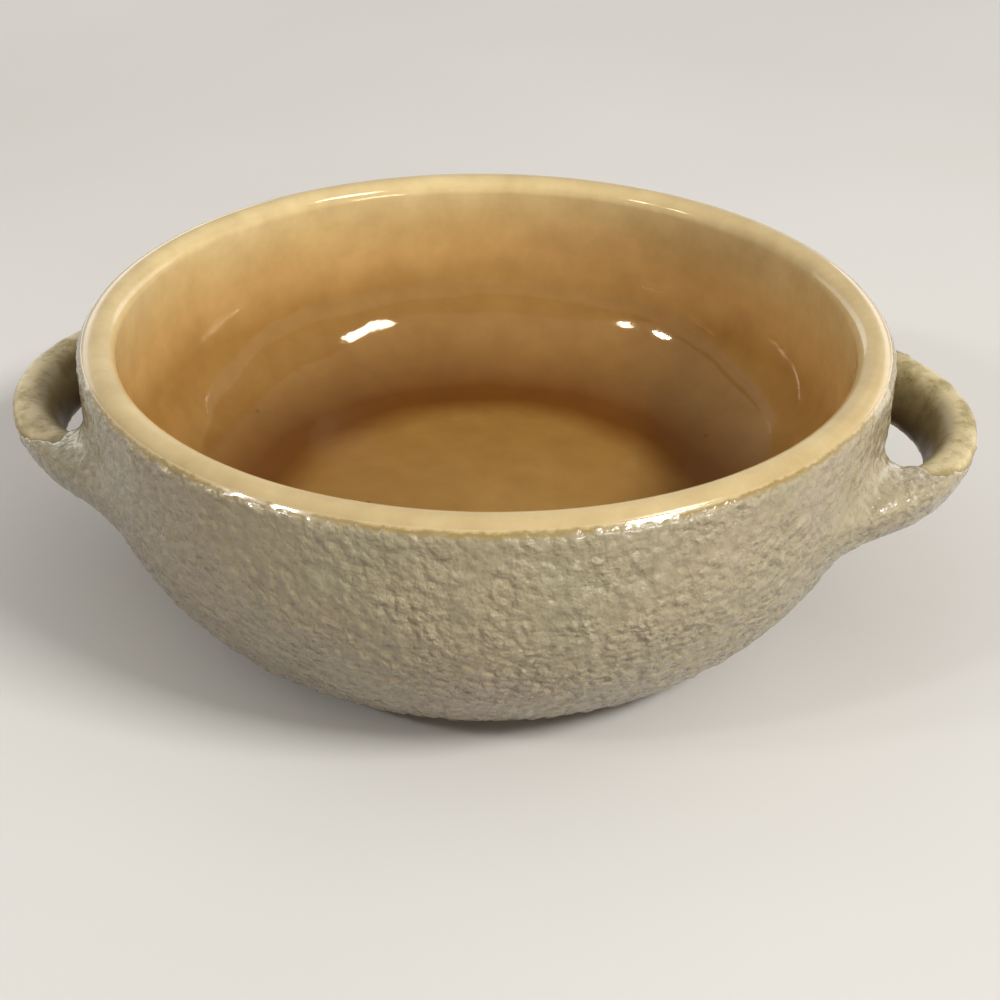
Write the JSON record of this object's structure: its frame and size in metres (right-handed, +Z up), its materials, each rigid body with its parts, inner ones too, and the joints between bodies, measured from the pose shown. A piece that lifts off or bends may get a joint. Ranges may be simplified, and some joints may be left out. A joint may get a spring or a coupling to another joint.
{
  "type": "mini casserole dish",
  "caption": "Shallow round stoneware dish with a rounded lip, a turned foot and fixed loop handles, honey glaze inside and a grey pebbled coat outside.",
  "frame": {"origin": "on the bowl's axis, at the table under the foot ring", "axes": "+Z up along the bowl's axis, +X towards the right handle"},
  "size_m": [0.159, 0.13, 0.0475],
  "materials": {
    "stoneware": "matte",
    "honey_glaze": "gloss",
    "grey_coat": "satin, pebbled",
    "cream_glaze": "satin"
  },
  "bodies": {
    "root": {"bowl_body": "stoneware", "left_handle": "stoneware", "right_handle": "stoneware", "honey_glaze": "honey_glaze", "outer_coat": "grey_coat", "left_handle_coat": "grey_coat", "right_handle_coat": "grey_coat", "left_handle_glaze": "cream_glaze", "right_handle_glaze": "cream_glaze"}
  },
  "joints": []
}
